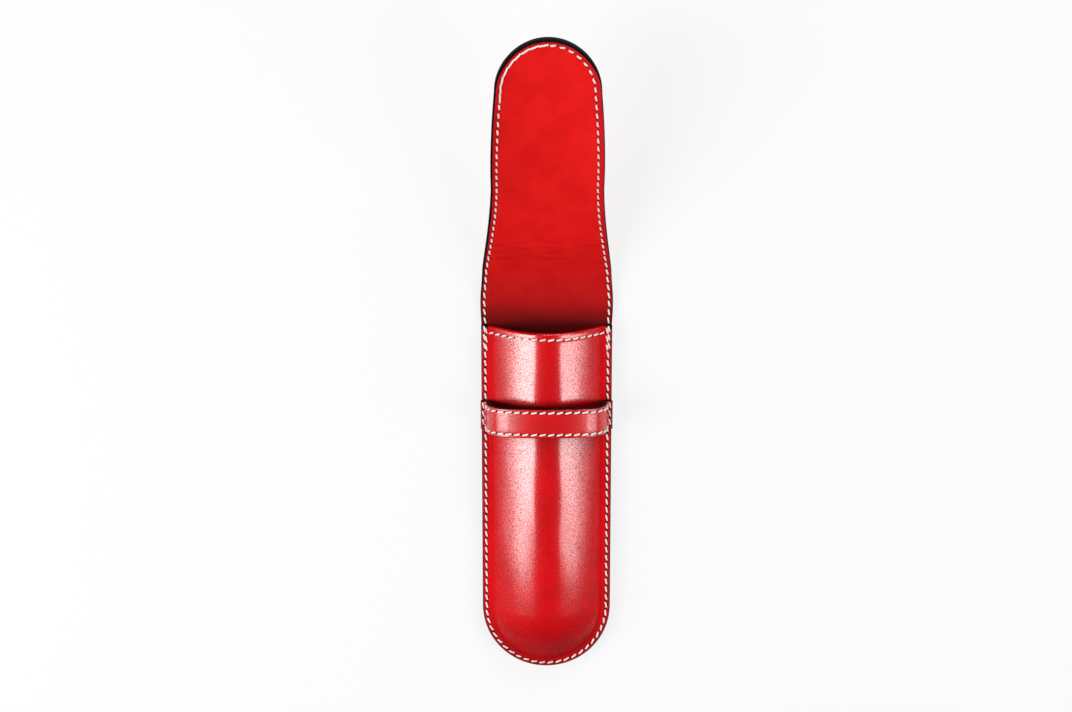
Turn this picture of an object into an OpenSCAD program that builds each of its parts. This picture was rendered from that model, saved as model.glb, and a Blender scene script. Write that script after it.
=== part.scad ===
// Single pen sleeve: a flat leather back, a domed pocket sewn onto it, a retaining band
// across the pocket and a long tongue flap that folds over and tucks under the band.
// The sleeve lies on its back. Length runs along Y, the flap toward +Y, and Z is up.
// The origin is on the flat underside, on the mid-line, level with the pocket's mouth.
// The flap is drawn open, as it springs up by itself, in links that meet at creases.

/* [Pouch] */
// Width of the pouch over its sewn margins
pouch_w = 50; // [46:1:60]
// Length of the pouch from the mouth to the bottom's outermost point
pouch_l = 137; // [115:1:160]
// Height of the pocket's ridge above the table
ridge_h = 17; // [15:0.5:20]
// Radius of the pocket's rounded ridge
ridge_r = 16; // [13:0.5:18]
// Slope of the pocket's sides
side_slope = 38; // [34:1:42]
// Radius of the hollow fillet where the side runs into the margin
margin_r = 6; // [4:0.5:7]
// How far the mouth's edge dips at the middle
mouth_dip = 1.6; // [0.5:0.1:4]
// How far the outline swells out between the mouth and the first crease
hip_out = 0.4; // [0:0.1:0.8]

/* [Leather] */
// Thickness of the outer leather of the back and flap
outer_t = 2.0; // [1.6:0.1:2.4]
// Thickness of the lining of the back and flap
lining_t = 1.2; // [0.8:0.1:1.4]
// Thickness of the pocket's outer leather
front_t = 1.8; // [1.4:0.1:2.2]
// Thickness of the pocket's lining
front_lining_t = 0.8; // [0.5:0.1:1.0]

/* [Flap] */
// Length of the leather from the mouth to the tip of the tongue
flap_l = 122.5; // [118:0.5:130]
// Radius of the tongue's round tip
tip_r = 18.4; // [16:0.2:19]
// Half width of the flap where it is parallel
shaft_half_w = 20.3; // [19.5:0.1:20.6]
// Half width at the first crease
root_half_w = 24.5; // [23.5:0.1:25]
// Length of leather that stays flat beyond the mouth
flat_l = 6; // [3:0.5:8]
// Leather from the mouth to where the flap reaches its steepest slope
rise_end = 30; // [26:0.5:34]
// Steepest slope of the open flap
rise_slope = 38; // [30:1:42]
// Slope at the tip of the open flap
tip_slope = 20; // [12:1:28]
// Leather from the mouth to where the slope begins to ease
ease_start = 40; // [36:1:46]
// Leather from the mouth to where the flap becomes parallel
neck_end = 66; // [60:1:72]
// Radius of the trough across the tongue
trough_r = 42; // [38:1:60]

/* [Creases] */
// Leather from the mouth to the first crease of the fold
crease_start = 22; // [20:0.5:24]
// Leather between the creases of the fold
crease_pitch = 9; // [8:0.5:9.5]
// Leather from the mouth to the crease between flap and tongue
tongue_start = 78; // [74:0.5:82]
// Half of the gap between two links at a crease
crease_gap = 0.3; // [0.25:0.05:0.4]
// Turn of each of the two lower creases when the sleeve is closed
low_turn = 38; // [30:0.5:40]
// Turn of each of the two upper creases when the sleeve is closed
high_turn = 42.4; // [34:0.2:44]

/* [Band] */
// Width of the retaining band
band_w = 11; // [8:0.5:14]
// Distance from the mouth to the band's upper edge
band_y = 29; // [22:1:40]
// Thickness of the band's outer leather
band_outer_t = 1.1; // [0.8:0.1:1.2]
// Thickness of the band's lining
band_lining_t = 0.7; // [0.5:0.1:0.8]
// Space between the pocket's ridge and the band, where the tongue tucks in
band_gap = 5.3; // [5.1:0.1:6.5]
// Radius of the band's arch on its underside
band_r = 39; // [37:1:44]
// Clearance between the side of the tucked tongue and the band
tongue_clear = 0.4; // [0.3:0.1:0.6]
// How far the band's ends stand out beyond the pouch's edge
band_overhang = 0.4; // [0:0.1:0.8]

/* [Stitching] */
// Thickness of the thread
thread_d = 0.7; // [0.5:0.05:0.9]
// Spacing of the stitches along a seam
stitch_pitch = 3.25; // [2.6:0.05:4]
// Gap between two stitches
stitch_gap = 0.75; // [0.6:0.05:1.2]
// Slant of each stitch across its seam
stitch_slant = 9; // [0:1:15]
// Distance of the side seam from the edge
seam_inset = 1.9; // [1.5:0.1:2.4]
// Distance of the band's seams from the band's edges
band_seam_inset = 1.3; // [1:0.1:1.6]
// Distance of the mouth's seam from the mouth's edge
mouth_seam_inset = 2.3; // [1.8:0.1:3]
// Share of the thread's thickness that stands proud of the leather
thread_proud = 0.5; // [0.3:0.05:0.6]

/* [Hidden] */
$fn = 64;

// Layers, counted downward from the lining's top face
sheet_t = outer_t + lining_t;
margin_h = sheet_t + front_lining_t + front_t;
pouch_half = pouch_w / 2;
bottom_cy = -(pouch_l - pouch_half);

// Creases, as lengths of leather from the mouth
crease_mid = crease_start + crease_pitch;
crease_high = crease_mid + crease_pitch;
crease_top = crease_high + crease_pitch;
tip_cs = flap_l - tip_r;

// The swell of the outline, as shares of the way from the mouth to the first crease
hip_start = 0.25;
hip_end = 0.5;

// Colours of the outer leather, the lining and the thread
red_outer = [0.72, 0.03, 0.05];
red_lining = [0.78, 0.08, 0.08];
cream = [0.93, 0.90, 0.82];

// Pocket profile: ridge arc, straight side and hollow fillet
side_drop = ridge_h - margin_h - (ridge_r + margin_r) * (1 - cos(side_slope));
side_l = side_drop / sin(side_slope);
fillet_x = (ridge_r + margin_r) * sin(side_slope) + side_l * cos(side_slope);
mouth_cut_r = (pouch_half * pouch_half + mouth_dip * mouth_dip) / (2 * mouth_dip);

// Band profile: arch, shoulder, upright side and foot
band_t = band_outer_t + band_lining_t;
arch_top = ridge_h + band_gap;
shoulder_x = shaft_half_w - 0.5 + tongue_clear;
shoulder_slope = asin(shoulder_x / band_r);
shoulder_r = 1;
wall_slope = 86;
shoulder_c = [(band_r - shoulder_r) * sin(shoulder_slope),
              arch_top - band_r + (band_r - shoulder_r) * cos(shoulder_slope)];
wall_top = shoulder_c + shoulder_r * [sin(wall_slope), cos(wall_slope)];
wall_foot_x = wall_top[0] + (wall_top[1] - margin_h) / tan(wall_slope);
band_half = pouch_half + band_overhang;

// The thread's groove under the back keeps the stitches off the table
groove_d = thread_d + 0.1;
groove_w = thread_d + 0.5;
proud = thread_d * thread_proud;

// Slope of the open flap at a length s of leather from the mouth
rise_r = (rise_end - flat_l) / (rise_slope * PI / 180);
function slope_at(s) =
    s < flat_l ? 0 :
    s < rise_end ? rise_slope * (s - flat_l) / (rise_end - flat_l) :
    s < ease_start ? rise_slope :
    rise_slope - (rise_slope - tip_slope) * pow((s - ease_start) / (flap_l - ease_start), 2);

// Place of the lining's top face on the mid-line, as [y, z], summed in short steps
path_step = 0.5;
function path_sum(s, n) =
    n == 0 ? [flat_l, sheet_t] :
    path_sum(s, n - 1) + (s - flat_l) / path_steps(s)
        * [cos(slope_at(flat_l + (n - 0.5) * (s - flat_l) / path_steps(s))),
           sin(slope_at(flat_l + (n - 0.5) * (s - flat_l) / path_steps(s)))];
function path_steps(s) = max(1, ceil((s - flat_l) / path_step));
function path_at(s) = path_sum(s, path_steps(s));

// Half width of the flap and the depth of its cross trough
function half_w(s) =
    s > tip_cs ? sqrt(max(0, tip_r * tip_r - pow(s - tip_cs, 2))) :
    s > neck_end ? tip_r + (shaft_half_w - tip_r) * (1 - pow((s - neck_end) / (tip_cs - neck_end), 2)) :
    shaft_half_w + (root_half_w - shaft_half_w)
        * pow((neck_end - s) / (neck_end - crease_start), 1.5);
function trough(s) =
    pow(min(1, max(0, (s - crease_start) / (tongue_start - crease_start))), 1.5) / trough_r;
function lift(s, x) = trough(s) * x * x / 2;

// Point of the flap at length s, x from the mid-line and n below the lining's top face
function sheet_point(s, x, n) =
    let (p = path_at(s), a = slope_at(s), c = trough(s) * x,
         h = lift(s, x) - n * sqrt(1 + c * c))
    [x, p[0] - h * sin(a), p[1] + h * cos(a)];

// How far a link's end draws back from its crease, so that raised edges clear when folding
function notch(s, x, turn) = crease_gap + lift(s, x) * tan(turn / 2);

// Rows of a link between two lengths of leather, closer together round the tip
function link_rows(s0, s1) =
    s1 < flap_l ? let (n = max(2, ceil((s1 - s0) / 6))) [for (i = [0:n]) s0 + (s1 - s0) * i / n] :
    concat([for (i = [0:4]) s0 + (tip_cs - s0) * i / 4],
           [for (a = [15:12:75]) tip_cs + tip_r * sin(a)],
           [tip_cs + tip_r * sin(84)]);

// Side profile of the pouch's sheet, from depth n0 to n1 below the lining's top face
module side_profile(n0, n1) {
    end_slope = slope_at(crease_start - crease_gap);
    steps = 12;
    function curl(n, i) =
        let (a = end_slope * i / steps)
        [flat_l + (rise_r + n) * sin(a), sheet_t + rise_r - (rise_r + n) * cos(a)];
    polygon(concat([[-pouch_l - 1, sheet_t - n1]], [for (i = [0:steps]) curl(n1, i)],
                   [for (i = [steps:-1:0]) curl(n0, i)], [[-pouch_l - 1, sheet_t - n0]]));
}

// Half width of the root at a share t of the way from the mouth to the first crease
function ease(t) = (1 - cos(180 * t)) / 2;
function hip_half(t) =
    t < hip_start ? pouch_half + hip_out * ease(t / hip_start) :
    pouch_half + hip_out - (pouch_half + hip_out - root_half_w)
        * ease(max(0, t - hip_end) / (1 - hip_end));

// Outline of the pouch and the root of the flap, seen from above
module pouch_outline() {
    steps = 12;
    right = [for (i = [0:steps]) [hip_half(i / steps), crease_start * i / steps]];
    round_end = [for (a = [180:5:360]) [pouch_half * cos(a), bottom_cy + pouch_half * sin(a)]];
    polygon(concat(round_end, right, [for (i = [steps:-1:0]) [-right[i][0], right[i][1]]]));
}

module pouch_sheet(n0, n1) {
    intersection() {
        rotate([90, 0, 90]) linear_extrude(pouch_w + 10, center = true) side_profile(n0, n1);
        linear_extrude(2 * margin_h + ridge_h) pouch_outline();
    }
}

// Groove for the thread under the back, along the side seam
module seam_groove() {
    seam_half = pouch_half - seam_inset;
    translate([0, 0, -1])
        linear_extrude(groove_d + 1) {
            for (side = [-1, 1])
                translate([side * seam_half - groove_w / 2, bottom_cy])
                    square([groove_w, -bottom_cy + 2 * flat_l]);
            intersection() {
                translate([0, bottom_cy])
                    difference() {
                        circle(seam_half + groove_w / 2);
                        circle(seam_half - groove_w / 2);
                    }
                translate([-pouch_w, bottom_cy - pouch_w]) square([2 * pouch_w, pouch_w]);
            }
        }
}

// Everything below the pocket's skin at depth d, seen from the mouth
module under_pocket(d, reach, base) {
    crown = [0, ridge_h - ridge_r];
    top = crown + (ridge_r - d) * [sin(side_slope), cos(side_slope)];
    foot = top + side_l * [cos(side_slope), -sin(side_slope)];
    difference() {
        union() {
            for (side = [0, 1])
                mirror([side, 0])
                    polygon([[0, base], [reach, base], [reach, margin_h - d], [fillet_x, margin_h - d],
                             foot, top, [0, top[1]]]);
            intersection() {
                translate(crown) circle(ridge_r - d);
                translate([-ridge_r, top[1] - 1]) square([2 * ridge_r, ridge_r]);
            }
        }
        for (side = [-1, 1])
            translate([side * fillet_x, margin_h + margin_r]) circle(margin_r + d);
    }
}

// One skin of the pocket, from depth d0 to d1 below its outer face
module pocket_skin(d0, d1) {
    module section() {
        difference() {
            under_pocket(d0, pouch_half, margin_h - d1);
            under_pocket(d1, pouch_half + 1, -1);
        }
    }
    difference() {
        union() {
            rotate([90, 0, 0]) linear_extrude(-bottom_cy) section();
            translate([0, bottom_cy, 0])
                rotate([0, 0, 180])
                    rotate_extrude(angle = 180)
                        intersection() {
                            section();
                            square([pouch_w, 2 * ridge_h]);
                        }
        }
        translate([0, mouth_cut_r - mouth_dip, -1]) cylinder(h = 2 * ridge_h, r = mouth_cut_r, $fn = 200);
    }
}

// Right half of the band's contour at height n above its underside, from the foot to the crown
function band_contour(n) =
    let (wall = wall_top + n * [sin(wall_slope), cos(wall_slope)],
         foot = [wall[0] + (wall[1] - margin_h - n) / tan(wall_slope), margin_h + n])
    concat([[band_half, foot[1]], foot],
           [for (i = [0:6])
               let (a = wall_slope - (wall_slope - shoulder_slope) * i / 6)
               shoulder_c + (shoulder_r + n) * [sin(a), cos(a)]],
           [for (i = [1:16])
               let (a = shoulder_slope * (1 - i / 16))
               [0, arch_top - band_r] + (band_r + n) * [sin(a), cos(a)]]);
function reversed(points) = [for (i = [len(points) - 1:-1:0]) points[i]];
function left_of(points) = [for (p = points) if (p[0] > 0) [-p[0], p[1]]];

// Band section from height n0 to n1 above its underside
module band_section(n0, n1) {
    polygon(concat(band_contour(n1), reversed(left_of(band_contour(n1))),
                   left_of(band_contour(n0)), reversed(band_contour(n0))));
}

module band_layer(n0, n1) {
    translate([0, -band_y, 0]) rotate([90, 0, 0]) linear_extrude(band_w) band_section(n0, n1);
}

// One layer of a link, from length s0 to s1 and depth n0 to n1; its ends draw back by turn
module link_layer(s0, s1, n0, n1, turn0, turn1) {
    cols = 7;
    width = 2 * cols + 1;
    rows = link_rows(s0, s1);
    last = len(rows) - 1;
    function row_s(i, x) =
        i == 0 ? s0 + notch(s0, x, turn0) :
        i == last && s1 < flap_l ? s1 - notch(s1, x, turn1) : rows[i];
    points = [for (n = [n0, n1], i = [0:last], j = [-cols:cols])
        let (x = half_w(rows[i]) * sin(90 * j / cols)) sheet_point(row_s(i, x), x, n)];
    low = (last + 1) * width;
    function at(i, j) = i * width + j;
    faces = concat(
        [for (i = [0:last - 1], j = [0:width - 2], k = [0, 1])
            k == 0 ? [at(i, j), at(i + 1, j), at(i + 1, j + 1)] : [at(i, j), at(i + 1, j + 1), at(i, j + 1)]],
        [for (i = [0:last - 1], j = [0:width - 2], k = [0, 1])
            k == 0 ? [low + at(i, j), low + at(i + 1, j + 1), low + at(i + 1, j)]
                   : [low + at(i, j), low + at(i, j + 1), low + at(i + 1, j + 1)]],
        [for (j = [0:width - 2], k = [0, 1])
            k == 0 ? [at(0, j), at(0, j + 1), low + at(0, j + 1)] : [at(0, j), low + at(0, j + 1), low + at(0, j)]],
        [for (j = [0:width - 2], k = [0, 1])
            k == 0 ? [at(last, j + 1), at(last, j), low + at(last, j)]
                   : [at(last, j + 1), low + at(last, j), low + at(last, j + 1)]],
        [for (i = [0:last - 1], k = [0, 1])
            k == 0 ? [at(i + 1, 0), at(i, 0), low + at(i, 0)] : [at(i + 1, 0), low + at(i, 0), low + at(i + 1, 0)]],
        [for (i = [0:last - 1], k = [0, 1])
            k == 0 ? [at(i, width - 1), at(i + 1, width - 1), low + at(i + 1, width - 1)]
                   : [at(i, width - 1), low + at(i + 1, width - 1), low + at(i, width - 1)]]);
    polyhedron(points, faces);
}

// One stitch through leather of thickness t: a flat loop along X, its top bar proud of z = 0
module stitch(t, under) {
    l = stitch_pitch - stitch_gap;
    hi = proud;
    lo = -t - under;
    c = thread_d / 3;
    rotate([0, 0, stitch_slant])
        rotate([90, 0, 0])
            linear_extrude(thread_d, center = true)
                polygon(points = [[-l / 2, lo + c], [-l / 2 + c, lo], [l / 2 - c, lo], [l / 2, lo + c],
                                  [l / 2, hi - c], [l / 2 - c, hi], [-l / 2 + c, hi], [-l / 2, hi - c],
                                  [-l / 2 + thread_d, lo + thread_d], [l / 2 - thread_d, lo + thread_d],
                                  [l / 2 - thread_d, hi - thread_d], [-l / 2 + thread_d, hi - thread_d]],
                        paths = [[0, 1, 2, 3, 4, 5, 6, 7], [8, 9, 10, 11]]);
}

// Stitches of the flap's seam between two lengths of leather, up both sides
module link_stitches(s0, s1) {
    n = floor((s1 - s0) / stitch_pitch);
    for (side = [-1, 1], i = [0:n - 1]) {
        s = (s0 + s1) / 2 + (i - (n - 1) / 2) * stitch_pitch;
        turn = atan((half_w(s + 1) - half_w(s - 1)) / 2);
        flap_stitch(s, side * (half_w(s) - seam_inset), 90 - side * turn);
    }
}

// One stitch of the flap, square to the leather at length s and x from the mid-line
module flap_stitch(s, x, turn) {
    p = sheet_point(s, x, 0);
    translate(p)
        rotate([slope_at(s), 0, 0])
            rotate([0, -atan(trough(s) * x), 0])
                rotate([0, 0, turn])
                    stitch(sheet_t, proud);
}

// Stitches round the tongue's tip
module tip_stitches() {
    r = tip_r - seam_inset;
    n = floor(PI * r / stitch_pitch);
    for (i = [0:n - 1]) {
        a = (i + 0.5) * 180 / n;
        flap_stitch(tip_cs + r * sin(a), r * cos(a), a + 90);
    }
}

module back_outer() {
    color(red_outer)
        difference() {
            pouch_sheet(lining_t, sheet_t);
            seam_groove();
        }
}

module back_lining() {
    color(red_lining) pouch_sheet(0, lining_t);
}

module pocket_front() {
    color(red_outer) pocket_skin(0, front_t);
}

module pocket_lining() {
    color(red_lining) pocket_skin(front_t, front_t + front_lining_t);
}

module band_strap() {
    color(red_outer) band_layer(band_lining_t, band_t);
}

module band_lining() {
    color(red_lining) band_layer(0, band_lining_t);
}

// Saddle stitching round the pouch: both sides, the bottom, over the band's ends and the root
module side_seam_thread() {
    seam_half = pouch_half - seam_inset;
    foot_x = (wall_foot_x + band_t + band_half) / 2;
    below = -(bottom_cy + band_y + band_w);
    rows_below = floor(below / stitch_pitch);
    rows_band = floor(band_w / stitch_pitch);
    rows_above = floor((band_y - 1) / stitch_pitch);
    color(cream) {
        for (side = [-1, 1]) {
            for (i = [0:rows_below - 1])
                translate([side * seam_half, bottom_cy + below * (i + 0.5) / rows_below, margin_h])
                    rotate([0, 0, 90]) stitch(margin_h, -0.05);
            for (i = [0:rows_band - 1])
                translate([side * foot_x, -band_y - band_w * (i + 0.5) / rows_band, margin_h + band_t])
                    rotate([0, 0, 90]) stitch(margin_h + band_t - outer_t, -0.05);
            for (i = [0:rows_above - 1])
                translate([side * seam_half, -band_y + (band_y - 1) * (i + 0.5) / rows_above, margin_h])
                    rotate([0, 0, 90]) stitch(margin_h, -0.05);
        }
        n = floor(PI * seam_half / stitch_pitch);
        for (i = [0:n - 1]) {
            a = 180 + (i + 0.5) * 180 / n;
            translate([seam_half * cos(a), bottom_cy + seam_half * sin(a), margin_h])
                rotate([0, 0, a + 90]) stitch(margin_h, -0.05);
        }
    }
    root_stitches();
}

// Stitches between the mouth and the first crease
module root_stitches() {
    rows = floor((crease_start - 3) / stitch_pitch);
    color(cream)
        for (side = [-1, 1], i = [0:rows - 1]) {
            s = 1.5 + (crease_start - 3) * (i + 0.5) / rows;
            p = s < flat_l ? [s, sheet_t] : path_at(s);
            translate([side * (pouch_half - seam_inset), p[0], p[1]])
                rotate([slope_at(s), 0, 0])
                    rotate([0, 0, 90]) stitch(sheet_t, -0.05);
        }
}

// Row of stitches along the mouth of the pocket
module mouth_thread() {
    half = ridge_r * side_slope * PI / 180 + side_l;
    n = floor(2 * half / stitch_pitch);
    color(cream)
        for (i = [0:n - 1]) {
            u = -half + 2 * half * (i + 0.5) / n;
            q = pocket_point(abs(u));
            x = sign(u) * q[0];
            edge = mouth_cut_r - mouth_dip - sqrt(mouth_cut_r * mouth_cut_r - x * x);
            translate([x, edge - mouth_seam_inset, q[1]])
                rotate([0, sign(u) * q[2], 0])
                    stitch(front_t + front_lining_t, 0.1);
        }
}

// Point of the pocket's outer face at a length u from the ridge, as [x, z, slope]
function pocket_point(u) =
    let (arc = ridge_r * side_slope * PI / 180, a = u / ridge_r * 180 / PI)
    u < arc ? [ridge_r * sin(a), ridge_h - ridge_r * (1 - cos(a)), a] :
    [ridge_r * sin(side_slope) + (u - arc) * cos(side_slope),
     ridge_h - ridge_r * (1 - cos(side_slope)) - (u - arc) * sin(side_slope), side_slope];

// Row of stitches across the band's arch, at a distance from the band's upper edge
module band_row(from_edge) {
    r = band_r + band_t;
    half = r * (shoulder_slope - 1) * PI / 180;
    n = floor(2 * half / stitch_pitch);
    for (i = [0:n - 1]) {
        a = (-half + 2 * half * (i + 0.5) / n) / r * 180 / PI;
        translate([r * sin(a), -band_y - from_edge, arch_top - band_r + r * cos(a)])
            rotate([0, a, 0]) stitch(band_t, 0);
    }
}

module band_upper_thread() {
    color(cream) band_row(band_seam_inset);
}

module band_lower_thread() {
    color(cream) band_row(band_w - band_seam_inset);
}

module fold_low_outer() {
    color(red_outer) link_layer(crease_start, crease_mid, lining_t, sheet_t, low_turn, low_turn);
}

module fold_low_lining() {
    color(red_lining) link_layer(crease_start, crease_mid, 0, lining_t, low_turn, low_turn);
}

module fold_low_thread() {
    color(cream) link_stitches(crease_start + 1, crease_mid - 1);
}

module fold_mid_outer() {
    color(red_outer) link_layer(crease_mid, crease_high, lining_t, sheet_t, low_turn, high_turn);
}

module fold_mid_lining() {
    color(red_lining) link_layer(crease_mid, crease_high, 0, lining_t, low_turn, high_turn);
}

module fold_mid_thread() {
    color(cream) link_stitches(crease_mid + 1, crease_high - 1);
}

module fold_high_outer() {
    color(red_outer) link_layer(crease_high, crease_top, lining_t, sheet_t, high_turn, high_turn);
}

module fold_high_lining() {
    color(red_lining) link_layer(crease_high, crease_top, 0, lining_t, high_turn, high_turn);
}

module fold_high_thread() {
    color(cream) link_stitches(crease_high + 1, crease_top - 1);
}

module flap_outer() {
    color(red_outer) link_layer(crease_top, tongue_start, lining_t, sheet_t, high_turn, 0);
}

module flap_lining() {
    color(red_lining) link_layer(crease_top, tongue_start, 0, lining_t, high_turn, 0);
}

module flap_thread() {
    color(cream) link_stitches(crease_top + 1, tongue_start - 1);
}

module tongue_outer() {
    color(red_outer) link_layer(tongue_start, flap_l, lining_t, sheet_t, 0, 0);
}

module tongue_lining() {
    color(red_lining) link_layer(tongue_start, flap_l, 0, lining_t, 0, 0);
}

module tongue_thread() {
    color(cream) {
        link_stitches(tongue_start + 1, tip_cs);
        tip_stitches();
    }
}

back_outer();
back_lining();
pocket_front();
pocket_lining();
band_strap();
band_lining();
side_seam_thread();
mouth_thread();
band_upper_thread();
band_lower_thread();
fold_low_outer();
fold_low_lining();
fold_low_thread();
fold_mid_outer();
fold_mid_lining();
fold_mid_thread();
fold_high_outer();
fold_high_lining();
fold_high_thread();
flap_outer();
flap_lining();
flap_thread();
tongue_outer();
tongue_lining();
tongue_thread();
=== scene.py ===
import math

import bpy
import numpy as np
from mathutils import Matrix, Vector


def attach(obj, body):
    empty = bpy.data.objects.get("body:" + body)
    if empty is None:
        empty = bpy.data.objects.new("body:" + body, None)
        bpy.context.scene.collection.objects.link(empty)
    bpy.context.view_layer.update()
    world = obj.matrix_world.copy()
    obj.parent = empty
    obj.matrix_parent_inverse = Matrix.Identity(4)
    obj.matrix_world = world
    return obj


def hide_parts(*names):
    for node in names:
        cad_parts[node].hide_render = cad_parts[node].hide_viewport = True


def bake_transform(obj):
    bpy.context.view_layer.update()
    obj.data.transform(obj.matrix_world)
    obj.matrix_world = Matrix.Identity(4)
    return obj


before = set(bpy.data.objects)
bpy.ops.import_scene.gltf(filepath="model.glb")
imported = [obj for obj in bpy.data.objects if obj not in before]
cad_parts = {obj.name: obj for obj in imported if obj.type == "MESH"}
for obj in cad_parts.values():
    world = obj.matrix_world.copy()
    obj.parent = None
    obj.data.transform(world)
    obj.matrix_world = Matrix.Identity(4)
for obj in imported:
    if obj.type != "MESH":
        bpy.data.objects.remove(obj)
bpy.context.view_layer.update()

mm = 0.001

# Camera
# It looks down on the sleeve from a little beyond the mouth, with the flap at the top.
lens = bpy.data.cameras.new("camera")
lens.lens = 50
camera = bpy.data.objects.new("camera", lens)
camera.location = (-4.1 * mm, 87.4 * mm, 568.2 * mm)
camera.rotation_euler = (math.radians(-10), 0, 0)
bpy.context.scene.collection.objects.link(camera)
bpy.context.scene.camera = camera


# Long panel
# One strip of leather is the back of the pouch, the flap and its tongue: 2 mm outer leather,
# black on its cut edges, with a red lining glued to it. It lies flat under the pocket,
# curls up beyond the mouth and stands open.
outer_t = 2.0 * mm
lining_t = 1.2 * mm
sheet_t = outer_t + lining_t
pouch_half = 25 * mm
bottom_cy = -112 * mm
flap_l = 122.5 * mm
tip_r = 18.4 * mm
tip_cs = flap_l - tip_r
flat_l = 6 * mm
rise_end = 30 * mm
ease_start = 40 * mm
rise_slope = math.radians(38)
tip_slope = math.radians(20)
tip_round = 0.965
shaft_half = 20.3 * mm
root_half = 24.5 * mm
crease_start = 22 * mm
crease_pitch = 9 * mm
neck_end = 66 * mm
tongue_start = 78 * mm
neck_l = 10 * mm
trough_r = 42 * mm
edge_round = 0.6 * mm
smooth_angle = math.radians(50)
row_step = 1.1 * mm
fine_step = 0.1 * mm
root_knots = np.array([-1, 0, 3, 6, 9, 12, 15, 18, 22]) * mm
root_widths = np.array([25, 25.05, 25.25, 25.4, 25.42, 25.3, 25.02, 24.75, 24.5]) * mm


def slope_at(s):
    rise = rise_slope * np.clip((s - flat_l) / (rise_end - flat_l), 0, 1)
    eased = np.clip(s - ease_start, 0, None) / (flap_l - ease_start)
    return rise - (rise_slope - tip_slope) * eased ** 2


# The rise of the flap's middle line, summed up in small steps
steps = np.arange(flat_l, flap_l + mm, fine_step)
step_slopes = slope_at((steps[:-1] + steps[1:]) / 2)
rise_y = flat_l + np.concatenate([[0], np.cumsum(np.cos(step_slopes))]) * fine_step
rise_z = sheet_t + np.concatenate([[0], np.cumsum(np.sin(step_slopes))]) * fine_step


def half_width(s):
    flare = np.clip((neck_end - s) / (neck_end - crease_start), 0, 1) ** 1.5
    taper = np.clip((s - neck_end) / (tip_cs - neck_end), 0, 1) ** 2
    flap = shaft_half + (root_half - shaft_half) * flare - (shaft_half - tip_r) * taper
    return np.where(s < crease_start, np.interp(s, root_knots, root_widths), flap)


def seam_inset(s):
    """The seam runs closer to the edge on the pouch than on the flap."""
    return np.interp(s, [0, 20 * mm, 50 * mm], [1.5 * mm, 1.6 * mm, 2.2 * mm])


def bend(x, s, n):
    """Place of a point of the sheet, x across, s along the leather and n below the lining's face."""
    slope = slope_at(s)
    hollow = np.clip((s - crease_start) / (tongue_start - crease_start), 0, 1) ** 1.5 / trough_r
    lift = hollow * x * x / 2 - n * np.sqrt(1 + (hollow * x) ** 2)
    y = np.where(s < flat_l, s, np.interp(s, steps, rise_y))
    z = np.where(s < flat_l, sheet_t, np.interp(s, steps, rise_z))
    return np.stack([x, y - lift * np.sin(slope), z + lift * np.cos(slope)], axis=-1)


# One thread runs round the whole outline, from the middle of the bottom to the middle of the tip
tip_seam_r = tip_r - seam_inset(tip_cs)
bottom_seam_r = pouch_half - seam_inset(bottom_cy)
tip_run = tip_seam_r * math.pi / 2
bottom_run = bottom_seam_r * math.pi / 2
stitch_count = 86
stitch_pitch = (tip_cs - bottom_cy + tip_run + bottom_run) / stitch_count


def seam_number(x, s):
    """Count of stitches from the bottom's middle to the seam's point beside x, s."""
    run = np.clip(s, bottom_cy, tip_cs)
    over = np.arctan2(s - tip_cs, np.abs(x) + 1e-9) * tip_seam_r
    under = np.arctan2(bottom_cy - s, np.abs(x) + 1e-9) * bottom_seam_r
    run = run + np.where(s > tip_cs, over, 0) - np.where(s < bottom_cy, under, 0)
    return (run - bottom_cy + bottom_run) / stitch_pitch


# Columns crowd at the cut edges, where the seam is
rim_steps = np.array([3.6, 2.9, 2.4, 1.9, 1.4, 0.9, 0]) * mm
seam_band = 4.4 * mm
weld_gap = 0.002 * mm
arc_rows = 30
at_edge = 0.01 * mm
inner = np.linspace(-1, 1, 33)
outer = np.ones(len(rim_steps))
side_share = np.concatenate([-outer, inner, outer])
side_off = np.concatenate([-(seam_band - rim_steps[::-1]), 0 * inner, seam_band - rim_steps])


def panel(name, places, marks):
    """A sheet of leather on a grid of places. The marks go with its points to the finish."""
    for other in bpy.context.selected_objects:
        other.select_set(False)
    rows, columns = places.shape[:2]
    bpy.ops.mesh.primitive_grid_add(x_subdivisions=columns - 1, y_subdivisions=rows - 1)
    piece = bpy.context.object
    piece.name = piece.data.name = name
    piece.data.vertices.foreach_set("co", places.ravel())
    for mark, values in marks.items():
        layer = piece.data.attributes.new(mark, "FLOAT_VECTOR", "POINT")
        layer.data.foreach_set("vector", np.stack(values, axis=-1).ravel())
    bpy.ops.object.mode_set(mode="EDIT")
    bpy.ops.mesh.select_all(action="SELECT")
    bpy.ops.mesh.remove_doubles(threshold=weld_gap)
    bpy.ops.object.mode_set(mode="OBJECT")
    return piece


def read_marks(piece, mark):
    """The marks of a panel, one row of three for each of its points."""
    values = np.zeros(len(piece.data.vertices) * 3, np.float32)
    piece.data.attributes[mark].data.foreach_get("vector", values)
    return values.reshape(-1, 3)


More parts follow.
